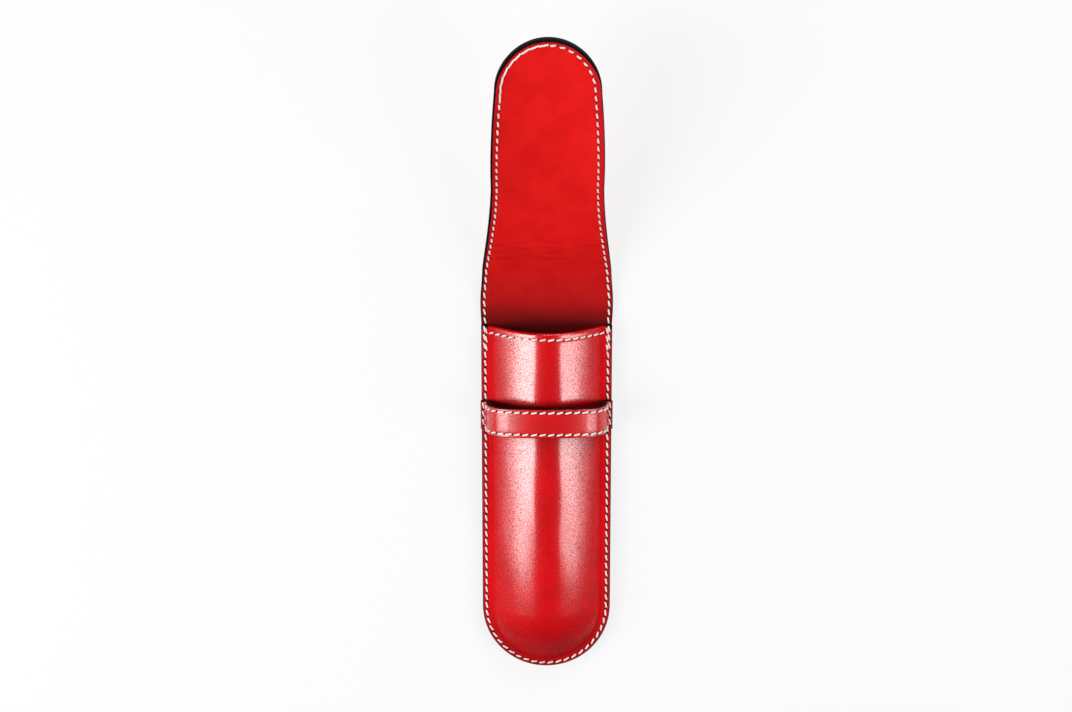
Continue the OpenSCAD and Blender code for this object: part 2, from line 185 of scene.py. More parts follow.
def thicken(piece, thickness, free_side, rounding, drawn):
    """Gives a sheet its thickness, and rounds the drawn edges of its top or bottom face."""
    solid = piece.modifiers.new("thickness", "SOLIDIFY")
    solid.thickness = thickness
    solid.offset = -1
    solid.use_even_offset = True
    bpy.ops.object.modifier_apply(modifier=solid.name)
    mesh = piece.data
    count = len(mesh.vertices)
    in_top = np.arange(count) < count // 2
    at_rim = drawn(piece) & (in_top if free_side == "top" else ~in_top)
    ends = np.zeros(len(mesh.edges) * 2, np.int32)
    mesh.edges.foreach_get("vertices", ends)
    ends = ends.reshape(-1, 2)
    weights = (at_rim[ends[:, 0]] & at_rim[ends[:, 1]]).astype(np.float32)
    mesh.attributes.new("bevel_weight_edge", "FLOAT", "EDGE").data.foreach_set("value", weights)
    bevel = piece.modifiers.new("edge", "BEVEL")
    bevel.limit_method = "WEIGHT"
    bevel.width = rounding
    bevel.segments = 3
    bevel.use_clamp_overlap = False
    bpy.ops.object.modifier_apply(modifier=bevel.name)
    piece.data.attributes.remove(piece.data.attributes["bevel_weight_edge"])
    bpy.ops.object.mode_set(mode="EDIT")
    bpy.ops.mesh.select_all(action="SELECT")
    bpy.ops.mesh.normals_make_consistent(inside=False)
    bpy.ops.object.mode_set(mode="OBJECT")


def points_of(piece):
    points = np.zeros(len(piece.data.vertices) * 3)
    piece.data.vertices.foreach_get("co", points)
    return points.reshape(-1, 3)


def place_points(piece, points):
    piece.data.vertices.foreach_set("co", points.ravel())
    piece.data.update()
    bpy.ops.object.shade_smooth_by_angle(angle=smooth_angle)


def cut_strip(name, s0, s1):
    """A strip of the sheet, cut flat. The first one's bottom and the last one's tip are round."""
    s = np.linspace(s0, s1, max(2, round((s1 - s0) / row_step)) + 1)
    turn = np.zeros(len(s))
    arc = np.linspace(0, math.pi / 2, arc_rows + 1)[1:]
    end = 1
    if s1 == tip_cs:
        s = np.concatenate([s, np.full(len(arc), s1)])
        turn = np.concatenate([turn, arc])
    if s0 == bottom_cy:
        s = np.concatenate([np.full(len(arc), s0), s])
        turn = np.concatenate([arc[::-1], turn])
        end = -1
    half = half_width(s)[:, None]
    x = side_share * (half - seam_band) + side_off
    flat_x = x * np.cos(turn)[:, None]
    flat_s = s[:, None] + end * np.abs(x) * np.sin(turn)[:, None] * (tip_round if end > 0 else 1)
    rim = half - np.abs(x)
    number = seam_number(flat_x, flat_s)
    places = np.stack([flat_x, flat_s, 0 * x], axis=-1)
    off = np.abs(rim - seam_inset(s)[:, None])
    marks = {"cut": (flat_x, flat_s, 0 * x), "seam": (off, number, rim)}
    return panel(name, places, marks)


def at_cut_edge(piece):
    return read_marks(piece, "seam")[:, 2] < at_edge


# Shader sums in the finishes are written as plain expressions on this small class
class Tone:
    """One output in a material. Sums on it add Math nodes, and node() adds any other node."""

    def __init__(self, tree, socket=None):
        self.tree, self.socket = tree, socket

    def node(self, kind, settings, sockets, out=0):
        made = self.tree.nodes.new("ShaderNode" + kind)
        for name, value in settings.items():
            if name == "stops":
                ends = made.color_ramp.elements
                for i, (place, grey) in enumerate(value):
                    stop = ends[i] if i < len(ends) else ends.new(place)
                    stop.position = place
                    stop.color = (grey, grey, grey, 1)
            else:
                setattr(made, name, value)
        for key, value in sockets.items():
            if isinstance(value, Tone):
                self.tree.links.new(value.socket, made.inputs[key])
            else:
                made.inputs[key].default_value = value
        return Tone(self.tree, made.outputs[out])

    def sum(self, operation, a, b=0.0):
        return self.node("Math", {"operation": operation}, {0: a, 1: b})

    def __add__(self, other):
        return self.sum("ADD", self, other)

    def __radd__(self, other):
        return self.sum("ADD", other, self)

    def __sub__(self, other):
        return self.sum("SUBTRACT", self, other)

    def __rsub__(self, other):
        return self.sum("SUBTRACT", other, self)

    def __mul__(self, other):
        return self.sum("MULTIPLY", self, other)

    def __rmul__(self, other):
        return self.sum("MULTIPLY", other, self)

    def __pow__(self, other):
        return self.sum("POWER", self, other)

    def fade(self, low, high):
        """0 below low, 1 above high, and soft between."""
        settings = {"interpolation_type": "SMOOTHSTEP", "clamp": True}
        return self.node("MapRange", settings, {0: self, 1: low, 2: high, 3: 0.0, 4: 1.0})

    def mix(self, mask, first, second):
        return self.node("Mix", {"data_type": "RGBA"}, {0: mask, 6: first, 7: second}, 2)


def finish(name):
    """A new material with its Principled shader, and a Tone to build on."""
    material = bpy.data.materials.new(name)
    material.use_nodes = True
    return material, material.node_tree.nodes["Principled BSDF"], Tone(material.node_tree)


def plug_in(shader, sockets):
    for name, value in sockets.items():
        if isinstance(value, Tone):
            value.tree.links.new(value.socket, shader.inputs[name])
        else:
            shader.inputs[name].default_value = value


def awl_holes(tone, mark, hole):
    """Dots where the thread goes down, along a marked seam, which the finish paints black as the shade
    in each hole, and the distance to the edge in mm.
    """
    seam = tone.node("Attribute", {"attribute_name": mark}, {}, 1)
    off, number, rim = [tone.node("SeparateXYZ", {}, {0: seam}, i) for i in range(3)]
    nearest = tone.sum("ROUND", number)
    along = (number - nearest) * (stitch_pitch / mm)
    away = (off * (1 / mm)) ** 2.0 + along ** 2.0
    return 1 - away.fade(0.3 * hole ** 2, hole ** 2), rim * (1 / mm)


def along_ramp(tone, length, stops):
    """A value that goes from stop to stop along the leather, each a place in mm and an amount."""
    first, last = stops[0][0] * mm, stops[-1][0] * mm
    share = tone.node("MapRange", {}, {0: length, 1: first, 2: last})
    places = [((place * mm - first) / (last - first), amount) for place, amount in stops]
    return tone.node("ValToRGB", {"stops": places}, {0: share})


def leather(name, colour, deep, roughness, grain, wax, wax_roughness=0.2, hole=0.45, wrinkles=0,
            rows=False, shade_stops=((0, 0), (1, 0)), dull=((0, 0), (1, 0)), dull_rim=None):
    """Dyed leather with its grain, mottling, awl holes, black painted edges and painted shade.

    Its two dyes are mottled together. Grain and wrinkles are depths, and wax is the weight of
    the polish on the face. The hole is an awl hole's reach in mm, and rows says that a second
    row of holes crosses the piece. The shade stops and dull are stops along the leather, in mm,
    for painted shade and for lost polish, and dull_rim is the reach in mm where the rim has no polish.
    """
    burnished = (0.34, 0.004, 0.020, 1)
    shaded = (0.09, 0.001, 0.002, 1)
    crease_shade = (0.42, 0.002, 0.003, 1)
    black = (0.002, 0.002, 0.002, 1)
    matte = 0.7
    material, shader, tone = finish(name)
    cut = tone.node("Attribute", {"attribute_name": "cut"}, {}, 1)
    holes, edge = awl_holes(tone, "seam", hole)
    from_rim = edge
    if rows:
        row_holes, row_edge = awl_holes(tone, "row", hole)
        holes = tone.sum("MAXIMUM", holes, row_holes)
        edge = tone.sum("MINIMUM", edge, row_edge)
    blotch = tone.node("TexNoise", {}, {"Vector": cut, "Scale": 90.0, "Detail": 4.0})
    ragged = tone.node("TexNoise", {}, {"Vector": cut, "Scale": 400.0, "Detail": 2.0})
    fine = tone.node("TexNoise", {}, {"Vector": cut, "Scale": 1400.0, "Detail": 3.0})
    grit = tone.node("TexNoise", {}, {"Vector": cut, "Scale": 2000.0, "Detail": 1.0})
    pores = tone.node("TexVoronoi", {}, {"Vector": cut, "Scale": 1500.0})
    side = tone.node("SeparateXYZ", {}, {0: cut}, 0)
    length = tone.node("SeparateXYZ", {}, {0: cut}, 1)

    # The black paint laps over the face a little, on the left of the flap and at its tip
    on_left = 1 - side.fade(-20 * mm, -8 * mm)
    lap = on_left * length.fade(0, 20 * mm) * 0.5 + length.fade(104 * mm, 120 * mm) * 0.8
    paint = 1 - (edge - lap + (ragged - 0.5) * 0.5).fade(0.2, 0.36)

    body = tone.mix(blotch.fade(0.35, 0.65) * 0.9, colour, deep)
    body = tone.mix(fine.fade(0.45, 0.7) * 0.5, body, deep)
    body = tone.mix((1 - from_rim.fade(1.3, 2.3)) * 0.45, body, burnished)
    # Painted shade: the shaded colour is mixed in by the shade stops along the leather
    body = tone.mix(along_ramp(tone, length, shade_stops), body, shaded)
    height = pores * (0.30 * grain) + fine * (0.5 * grain) - holes * 1.6
    if wrinkles:
        squeezed = tone.node("Mapping", {}, {"Vector": cut, "Scale": (0.2, 1.0, 1.0)})
        fold = tone.node("TexNoise", {}, {"Vector": squeezed, "Scale": 560.0, "Detail": 3.0})
        where = length.fade(20 * mm, 27 * mm) * (1 - length.fade(36 * mm, 44 * mm))
        height = height + fold * where * wrinkles
        # The folds of the wrinkles are painted darker: painted shade in the creases
        body = tone.mix(fold.fade(0.45, 0.65) * where * 0.22, body, crease_shade)
    # Black for the painted edges, and black in the awl holes as painted shade
    base = tone.mix(tone.sum("MAXIMUM", paint, holes), body, black)
    bump = tone.node("Bump", {}, {"Strength": 1.0, "Distance": 0.12 * mm, "Height": height})

    worn = along_ramp(tone, length, dull)
    if dull_rim:
        start, stop = dull_rim
        rubbed = from_rim.fade(start - 1, start) * (1 - from_rim.fade(stop, stop + 4))
        worn = tone.sum("MAXIMUM", worn, rubbed)
    rough = roughness + (blotch - 0.5) * 0.08 + (fine - 0.5) * 0.2
    rough = rough + tone.sum("MAXIMUM", worn, paint) * (matte - roughness)
    smooth = from_rim.fade(13, 24) * 0.4 + 0.25
    speckle = smooth + grit.fade(0.38, 0.56) * (1 - smooth)
    coat = wax * speckle * (1 - tone.sum("MAXIMUM", holes, paint)) * (1 - worn)
    plug_in(shader, {"Base Color": base, "Roughness": rough, "Normal": bump, "IOR": 1.2,
                     "Coat Weight": coat, "Coat IOR": 2.0, "Coat Roughness": wax_roughness})
    return material


outer_leather = leather("outer_leather", (0.66, 0.002, 0.006, 1), (0.54, 0.001, 0.004, 1),
                        roughness=0.36, grain=1.6, wax=0.8)
# The lining is painted darker towards the mouth and past it under the pocket: painted shade
lining_leather = leather("lining_leather", (0.86, 0.010, 0.009, 1), (0.76, 0.006, 0.006, 1),
                         roughness=0.75, grain=0.8, wax=0, hole=0.34, wrinkles=4.0,
                         shade_stops=((-30, 1), (0, 0.95), (4, 0.82), (10, 0.52), (24, 0.22), (36, 0)))

# Strips of the panel: name, start and end along the leather, the links that carry it, its node
links = ["pouch", "fold_low", "fold_mid", "fold_high", "flap"]
spans = [("back", bottom_cy, crease_start - crease_pitch / 2, ["pouch"], "back")]
for i in range(len(links) - 1):
    low = crease_start + (i - 0.5) * crease_pitch
    spans.append((f"crease_{i + 1}", low, low + crease_pitch, links[i:i + 2], links[i + 1]))
neck_low = tongue_start - neck_l / 2
neck_high = tongue_start + neck_l / 2
spans += [("flap", spans[-1][2], neck_low, ["flap"], "flap"),
          ("neck", neck_low, neck_high, ["flap", "tongue"], "tongue"),
          ("tongue", neck_high, tip_cs, ["tongue"], "tongue")]


def carry(piece, s0, s1, bodies):
    """A piece rides on its link; one that spans the crease between two links is left fixed where it
    lies.
    """
    if len(bodies) == 1:
        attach(piece, bodies[0])
    else:
        ends = [Vector(bend(np.array(0.0), np.array(s), sheet_t / 2)) for s in (s0, s1)]
        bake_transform(piece)


shallow_groove = 0.16 * mm
deep_groove = 0.75 * mm
groove_w = 0.6 * mm
under_groove_w = 0.75 * mm
on_plane = 0.001 * mm


def thread_groove(s):
    """Depth of the groove on the outer face, which keeps the thread off the table."""
    return np.interp(s, [8 * mm, 18 * mm], [deep_groove, shallow_groove])


for span, s0, s1, bodies, node in spans:
    for layer, top, thickness, face, dye in [("lining", 0, lining_t, "top", lining_leather),
                                             ("outer", lining_t, outer_t, "bottom", outer_leather)]:
        strip = cut_strip(span + "_" + layer, s0, s1)
        thicken(strip, thickness, face, edge_round, at_cut_edge)
        flat = points_of(strip)
        seam = read_marks(strip, "seam")
        if layer == "lining":
            on_face = flat[:, 2] > -on_plane
            flat[:, 2] -= shallow_groove * np.exp(-(seam[:, 0] / groove_w) ** 2) * on_face
        else:
            on_face = flat[:, 2] < on_plane - thickness
            sunk = thread_groove(flat[:, 1]) * np.exp(-(seam[:, 0] / under_groove_w) ** 4)
            flat[:, 2] += sunk * on_face
        place_points(strip, bend(flat[:, 0], flat[:, 1], top - flat[:, 2]))
        strip.data.materials.append(dye)
        carry(strip, s0, s1, bodies)
        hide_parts(node + "_" + layer)
        layer + "_leather"


# Pocket
# Outer leather moulded wet over a form, with a round ridge, sloping sides and a domed end,
# and a thin lining inside it. Its flat margin is sewn down on the back.
ridge_h = 17 * mm
ridge_r = 22.9 * mm
ridge_slope = math.radians(34)
side_slope = math.radians(44)
margin_r = 1.2 * mm
front_t = 1.8 * mm
front_lining_t = 0.8 * mm
margin_h = sheet_t + front_lining_t + front_t
mouth_dip = 1.6 * mm
mouth_inset = 2.3 * mm
mouth_groove = 0.14 * mm
margin_groove = 0.2 * mm
unevenness = 0.07 * mm
skin_step = 0.02 * mm
round_drop = ridge_r * (1 - math.cos(ridge_slope)) + margin_r * (1 - math.cos(side_slope))
side_fall = (math.cos(ridge_slope) - math.cos(side_slope)) / (side_slope - ridge_slope)
side_l = (ridge_h - margin_h - round_drop) / side_fall
bends_at = np.cumsum([0, ridge_r * ridge_slope, side_l, margin_r * side_slope])
bend_slopes = [0, ridge_slope, side_slope, 0]
fold_steps = np.array([5.0, 4.6, 4.3, 4.05, 3.8, 3.55, 3.3, 3.0, 2.6, 2.1, 1.7, 1.3, 0.9, 0]) * mm
skin_steps = np.arange(0, 32 * mm, skin_step)
skin_slopes = np.interp((skin_steps[:-1] + skin_steps[1:]) / 2, bends_at, bend_slopes)
skin_x = np.concatenate([[0], np.cumsum(np.cos(skin_slopes))]) * skin_step
skin_z = ridge_h - np.concatenate([[0], np.cumsum(np.sin(skin_slopes))]) * skin_step
skin_l = np.interp(pouch_half, skin_x, skin_steps)
mouth_r = (pouch_half ** 2 + mouth_dip ** 2) / (2 * mouth_dip)
mouth_stitches = 8
clear_of_hole = 1 * mm

# The paint of the two cut edges meets in a dab at each corner of the mouth
dab_in = 1.2 * mm
dab_down = 0.3 * mm
dab_r = 1.1 * mm


def pocket_section(q):
    """Across, height and slope of the pocket's face, at a length q of leather from the ridge."""
    return (np.interp(q, skin_steps, skin_x), np.interp(q, skin_steps, skin_z),
            np.interp(q, bends_at, bend_slopes))


def mouth_edge(x):
    """The mouth dips toward the band in its middle."""
    return mouth_r - mouth_dip - np.sqrt(mouth_r ** 2 - x ** 2)


# The pocket is painted darker under the band's upper edge, as the band's painted shadow, and towards
# the dome's end, as painted shade
pocket_leather = leather("pocket_leather", (0.70, 0.001, 0.005, 1), (0.60, 0.001, 0.004, 1),
                         roughness=0.32, grain=2.2, wax=1.0, wax_roughness=0.17, rows=True,
                         shade_stops=((-137, 0.35), (-128, 0.4), (-116, 0.1), (-108, 0), (-45, 0),
                               (-33, 0.9), (-29.3, 0.9), (-28.7, 0), (0, 0)),
                         dull=((-137, 1), (-126, 0.95), (-116, 0.6), (-104, 0.2), (-90, 0), (-45, 0),
                               (-34, 0.85), (-29.3, 0.85), (-28.7, 0), (0, 0)),
                         dull_rim=(0.5, 4.0))
# The pocket's inner lining is given a near-black red: painted shade inside the pocket
pocket_inside_shaded = leather("pocket_inside_shaded", (0.20, 0.004, 0.005, 1), (0.14, 0.003, 0.004, 1),
                        roughness=0.75, grain=0.8, wax=0)


def pocket_skin(name, depth):
    """One skin of the pocket, at a depth below its outer face."""
    reach = np.concatenate([np.linspace(0, skin_l - fold_steps[0], 34)[:-1], skin_l - fold_steps])
    q = np.concatenate([-reach[:0:-1], reach])
    x, z, slope = pocket_section(np.abs(q))
    arc = np.linspace(math.pi / 2, 0, 41)[:-1]
    near = np.concatenate([np.linspace(-bottom_cy, seam_band, 100), rim_steps])
    turn = np.concatenate([arc, 0 * near])[:, None]
    from_mouth = np.concatenate([np.full(len(arc), -bottom_cy), near])[:, None]
    edge = mouth_edge(x)
    y = edge + (bottom_cy - edge) * from_mouth / -bottom_cy
    number = seam_number(x * np.cos(turn), np.where(turn > 0, bottom_cy - x * np.sin(turn), y))
    rim = skin_l - np.abs(q) + 0 * turn
    sunk = margin_groove * np.exp(-((rim - seam_inset(bottom_cy)) / groove_w) ** 2)
    sunk += mouth_groove * np.exp(-((from_mouth - mouth_inset) / groove_w) ** 2) * (rim > 3 * mm)
    wave = np.sin(y / (8 * mm) + 1.7 * np.sin(q / (9 * mm))) * np.cos(q / (6 * mm) + y / (21 * mm))
    sunk += unevenness * wave * np.clip(rim / (8 * mm) - 0.5, 0, 1)
    across = x - (depth + sunk) * np.sin(slope)
    z = z - (depth + sunk) * np.cos(slope)
    px = np.sign(q) * across * np.cos(turn)
    py = y - across * np.sin(turn)
    places = np.stack([px, py, z], axis=-1)
    painted = np.clip(np.hypot(rim - dab_in, from_mouth - dab_down) - dab_r, 0, None)
    row = q / stitch_pitch + 0 * turn
    past_row = np.abs(row) > mouth_stitches + 0.2
    row_off = np.abs(from_mouth - mouth_inset) + np.where(past_row, clear_of_hole, 0)
    marks = {"cut": (px, py, z), "seam": (np.abs(rim - seam_inset(bottom_cy)), number, rim),
             "row": (row_off, row, painted), "ends": (0 * rim, from_mouth + 0 * rim, 0 * rim)}
    return panel(name, places, marks)


def at_mouth(piece):
    return read_marks(piece, "ends")[:, 1] < at_edge


def at_pocket_edge(piece):
    return at_cut_edge(piece) | at_mouth(piece)


for layer, depth, thickness, rounding, drawn, dye in [
        ("front", 0, front_t, 0.5 * mm, at_pocket_edge, pocket_leather),
        ("lining", front_t, front_lining_t, 0.05 * mm, at_mouth, pocket_inside_shaded)]:
    skin = pocket_skin("pocket_skin_" + layer, depth)
    thicken(skin, thickness, "top", rounding, drawn)
    bpy.ops.object.shade_smooth_by_angle(angle=smooth_angle)
    skin.data.materials.append(dye)
    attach(skin, "pouch")
    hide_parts("pocket_" + layer)
    "outer_leather" if layer == "front" else "lining_leather"


# Retaining band
# A lined strap over the pocket. Its feet are sewn into both side seams, and it stands off
# the ridge so that the tongue can slide under it.
band_w = 11 * mm
band_y = 29 * mm
band_outer_t = 1.1 * mm
band_lining_t = 0.7 * mm
band_t = band_outer_t + band_lining_t
band_gap = 5.3 * mm
band_r = 72 * mm
band_half = pouch_half + 0.4 * mm
band_inset = 1.3 * mm
arch_top = ridge_h + band_gap
shoulder_x = 14.5 * mm
shoulder_slope = math.asin(shoulder_x / band_r)
wall_slope = math.radians(86)
wall_x = 21.1 * mm
shoulder_r = (wall_x - shoulder_x) / (math.sin(wall_slope) - math.sin(shoulder_slope))
foot_seam_x = 24.3 * mm
band_groove = 0.14 * mm
band_groove_w = 0.5 * mm
band_rounding = 0.35 * mm
paint_back = 0.12 * mm
row_end_x = 23 * mm


def band_contour(n):
    """Points of the band's right half at a height n above its underside, crown to foot."""
    angle = np.linspace(0, shoulder_slope, 40)
    arch = (band_r + n) * np.stack([np.sin(angle), np.cos(angle)], axis=-1)
    arch[:, 1] += arch_top - band_r
    centre = np.array([(band_r - shoulder_r) * math.sin(shoulder_slope),
                       arch_top - band_r + (band_r - shoulder_r) * math.cos(shoulder_slope)])
    angle = np.linspace(shoulder_slope, wall_slope, 25)[1:]
    shoulder = centre + (shoulder_r + n) * np.stack([np.sin(angle), np.cos(angle)], axis=-1)
    foot_z = margin_h + n
    wall = shoulder[-1] + np.array([(shoulder[-1, 1] - foot_z) / math.tan(wall_slope), 0])
    wall[1] = foot_z
    return np.concatenate([arch, shoulder, [wall], [[band_half, foot_z]]])


def run_along(points):
    """Length of a line of points, up to each of them."""
    return np.concatenate([[0], np.cumsum(np.hypot(*np.diff(points, axis=0).T))])


def band_skin(name, n):
    """One layer of the band, with its outer face at a height n above the band's underside."""
    half = band_contour(n)
    run = run_along(half)
    reach = np.linspace(0, run[-1], 90)
    x, z = (np.interp(reach, run, half[:, i]) for i in range(2))
    for _ in range(2):
        x[1:-1] = (x[:-2] + 2 * x[1:-1] + x[2:]) / 4
        z[1:-1] = (z[:-2] + 2 * z[1:-1] + z[2:]) / 4
    q = np.concatenate([-reach[:0:-1], reach])
    x = np.concatenate([-x[:0:-1], x])
    z = np.concatenate([z[:0:-1], z])
    across = np.array([0, 0.8, 1.3, 1.8, 2.6, 3.6, 4.6, 5.5]) * mm
    across = np.concatenate([across, band_w - across[-2::-1]])[:, None]
    rim = np.minimum(across, band_w - across)
    y = -band_y - band_w + across
    slope = np.gradient(z) / np.gradient(x)
    level = 1 / np.sqrt(1 + slope ** 2)
    sunk = band_groove * np.exp(-((rim - band_inset) / band_groove_w) ** 2) * (np.abs(x) < wall_x)
    px = x + sunk * slope * level
    pz = z - sunk * level
    places = np.stack([px, y + 0 * x, pz], axis=-1)
    end = reach[-1] - np.abs(q) + 0 * rim
    number = seam_number(x + 0 * y, y + 0 * x)
    seam_off = np.abs(end - (band_half - foot_seam_x))
    row_off = np.abs(rim - band_inset) + np.where(np.abs(x) > row_end_x, clear_of_hole, 0)
    marks = {"cut": (px, y + 0 * x, pz), "seam": (seam_off, number, end),
             "row": (row_off, q / stitch_pitch + 0 * y, rim + paint_back + 0 * x)}
    return panel(name, places, marks)


def at_band_edge(piece):
    return (read_marks(piece, "row")[:, 2] < paint_back + at_edge) | at_cut_edge(piece)


band_leather = leather("band_leather", (0.66, 0.001, 0.005, 1), (0.55, 0.001, 0.004, 1),
                       roughness=0.40, grain=2.2, wax=0.75, wax_roughness=0.25, rows=True)
# The band's lining is given a near-black red: painted shade under the band
band_inside_shaded = leather("band_inside_shaded", (0.20, 0.004, 0.005, 1), (0.14, 0.003, 0.004, 1),
                      roughness=0.75, grain=0.8, wax=0, rows=True)
for layer, n, thickness, face, dye in [
        ("strap", band_t, band_outer_t, "top", band_leather),
        ("lining", band_lining_t, band_lining_t, "bottom", band_inside_shaded)]:
    strap = band_skin("band_skin_" + layer, n)
    thicken(strap, thickness, face, band_rounding, at_band_edge)
    bpy.ops.object.shade_smooth_by_angle(angle=smooth_angle)
    strap.data.materials.append(dye)
    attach(strap, "pouch")
    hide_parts("band_" + layer)
    "outer_leather" if layer == "strap" else "lining_leather"


# Saddle stitches
# Waxed cream thread, sewn by hand with two needles, so that each stitch shows as a short
# slanted bar that dives into its awl holes at both ends.
thread_d = 0.66 * mm
stitch_gap = 0.6 * mm
stitch_l = stitch_pitch - stitch_gap
stitch_slant = math.radians(13)
stitch_rise = 0.22 * mm
stitch_dive = 0.42 * mm
uneven_by = 0.06

# The flap's stitches are a little shorter, and round the left of its tip they meet
flap_stitch = 0.78
meeting_stitch = 1.42
meeting_start = tip_cs - 4 * mm

# Beside the mouth the seam is sewn twice, in rows a little inside and outside it
twice_from = -10 * mm
twice_to = 1 * mm
shift_in = -0.34 * mm
shift_out = 0.32 * mm

# There the seam steps down from the pocket's margin to the lining
step_down = [-1.0 * mm, 0.8 * mm]

# The stitches under the sheet sink by this share of the groove's extra depth
pressed_in = 0.9


def one_stitch():
    """A stitch along X, its middle proud of z = 0 and its ends below it."""
    bpy.ops.mesh.primitive_uv_sphere_add(segments=10, ring_count=9, radius=1,
                                         rotation=(0, math.pi / 2, 0))
    bpy.ops.object.transform_apply(rotation=True)
    bar = bpy.context.object
    ball = points_of(bar)
    along = np.sign(ball[:, 0]) * np.abs(ball[:, 0]) ** 0.62
    girth = (1 - np.abs(along) ** 6) ** 0.5
    round_ = np.hypot(ball[:, 1], ball[:, 2]) + 1e-9
    y = ball[:, 1] / round_ * girth
    z = ball[:, 2] / round_ * girth
    tips = np.abs(ball[:, 0]) > 0.999
    y[tips] = z[tips] = 0
    shape = np.stack([along * stitch_l / 2, y * thread_d * 0.52,
                      z * thread_d * 0.42 + stitch_rise - stitch_dive * np.abs(along) ** 4], axis=-1)
    turns = np.arctan2(ball[:, 2], ball[:, 1])
    faces = [list(face.vertices) for face in bar.data.polygons]
    bpy.data.objects.remove(bar)
    return shape, np.stack([along, turns, 0 * turns], axis=-1), faces


stitch_shape, stitch_marks, stitch_faces = one_stitch()


def thread_material():
    material, shader, tone = finish("waxed_thread")
    mark = tone.node("Attribute", {"attribute_name": "strand"}, {}, 1)
    along = tone.node("SeparateXYZ", {}, {0: mark}, 0)
    turn = tone.node("SeparateXYZ", {}, {0: mark}, 1)
    own = tone.node("SeparateXYZ", {}, {0: mark}, 2)
    ply = tone.sum("SINE", along * 14.0 + turn * 2.0)
    worn = tone.node("TexNoise", {}, {"Vector": mark, "Scale": 3.0, "Detail": 2.0})
    base = tone.mix((ply * 0.5 + 0.5) * 0.3, (0.97, 0.94, 0.87, 1), (0.80, 0.72, 0.60, 1))
    # The stitch ends, where the thread dives into its holes, are painted dark: painted shade
    base = tone.mix(tone.sum("ABSOLUTE", along).fade(0.8, 1.0) * 0.7, base, (0.20, 0.10, 0.07, 1))
    base = tone.mix(own.fade(0.6, 1.0) * worn * 0.4, base, (0.70, 0.58, 0.48, 1))
    bump = tone.node("Bump", {}, {"Strength": 0.6, "Distance": 0.1 * mm, "Height": ply})
    plug_in(shader, {"Base Color": base, "Roughness": 0.55, "Normal": bump})
    return material


thread_finish = thread_material()


def sew(name, places, body_names, node, s0=0, s1=0):
    """Copies of the stitch as one piece. Each place has a point, two directions and a length."""
    shapes, marks, faces = [], [], []
    rng = np.random.default_rng(len(name) * 7 + len(places))
    for spot, ahead, up, longer in places:
        up = up / np.linalg.norm(up)
        ahead = ahead / np.linalg.norm(ahead)
        side = np.cross(up, ahead)
        slant = stitch_slant * (0.3 if longer == meeting_stitch else longer)
        slanted = ahead * math.cos(slant) + side * math.sin(slant)
        frame_axes = np.stack([slanted, np.cross(up, slanted), up])
        grow = longer * (1 + rng.uniform(-uneven_by, uneven_by))
        faces += [[v + len(shapes) * len(stitch_shape) for v in face] for face in stitch_faces]
        shapes.append(stitch_shape * [grow, 1, 1] @ frame_axes + spot)
        marks.append(stitch_marks + [0, 0, rng.uniform(0, 1)])
    mesh = bpy.data.meshes.new(name)
    mesh.from_pydata(np.concatenate(shapes).tolist(), [], faces)
    layer = mesh.attributes.new("strand", "FLOAT_VECTOR", "POINT")
    layer.data.foreach_set("vector", np.concatenate(marks).ravel())
    mesh.shade_smooth()
    thread = bpy.data.objects.new(name, mesh)
    bpy.context.scene.collection.objects.link(thread)
    mesh.materials.append(thread_finish)
    carry(thread, s0, s1, body_names)
    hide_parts(node)


def run_at(number):
    """Length of the seam at a count of stitches. It is zero at the mouth."""
    return number * stitch_pitch + bottom_cy - bottom_run


def seam_spot(number, side, shift=0, under=False):
    """Place of the outline's seam at a count of stitches, on the front or under the sheet."""
    run = run_at(number)
    turn = 0.0
    s = np.clip(run, bottom_cy, tip_cs)
    reach = half_width(s) - seam_inset(s) + shift
    end = 1
    if run > tip_cs:
        turn = (run - tip_cs) / tip_seam_r
        end = tip_round
    if run < bottom_cy:
        turn = (run - bottom_cy) / bottom_seam_r
    x = side * reach * math.cos(turn)
    s = s + reach * math.sin(turn) * end
    if under:
        return bend(x, s, sheet_t - pressed_in * (thread_groove(s) - shallow_groove))
    if run > step_down[1]:
        return bend(x, s, 0.0)
    height = np.interp(run, step_down, [margin_h, sheet_t])
    if -band_y - band_w < s < -band_y:
        x = side * (foot_seam_x + shift)
        height = margin_h + band_t
    return np.array([x, s, height])


def seam_place(number, side, shift=0, under=False):
    """A stitch's place in the outline's seam: a point, the way ahead, the way up and its length."""
    spot = seam_spot(number, side, shift, under)
    ahead = seam_spot(number + 0.1, side, shift, under) - seam_spot(number - 0.1, side, shift, under)
    out = seam_spot(number, side, shift + 0.1 * mm) - seam_spot(number, side, shift - 0.1 * mm)
    up = np.cross(out, ahead) * (-side if under else side)
    longer = np.interp(run_at(number), [15 * mm, 40 * mm], [1.0, flap_stitch])
    if side < 0 and run_at(number) > meeting_start:
        longer = meeting_stitch
    return spot, ahead, up, longer


def seam_run(s0, s1):
    """Stitches of both sides, front and back, whose middle lies between two lengths of the seam."""
    found = []
    for i in range(stitch_count):
        run = run_at(i + 0.5)
        if s0 <= run < s1:
            for side in (-1, 1):
                found.append(seam_place(i + 0.5, side, under=True))
                if twice_from < run < twice_to:
                    found.append(seam_place(i + 0.38, side, shift_in))
                    found.append(seam_place(i + 0.6, side, shift_out))
                else:
                    found.append(seam_place(i + 0.5, side))
    return found


for span, s0, s1, bodies, node in spans:
    low = s0 - 2 * bottom_run if s0 == bottom_cy else s0
    high = s1 + 2 * tip_run if s1 == tip_cs else s1
    thread_node = "side_seam_thread" if span == "back" else node + "_thread"
    sew(span + "_stitches", seam_run(low, high), bodies, thread_node, s0, s1)


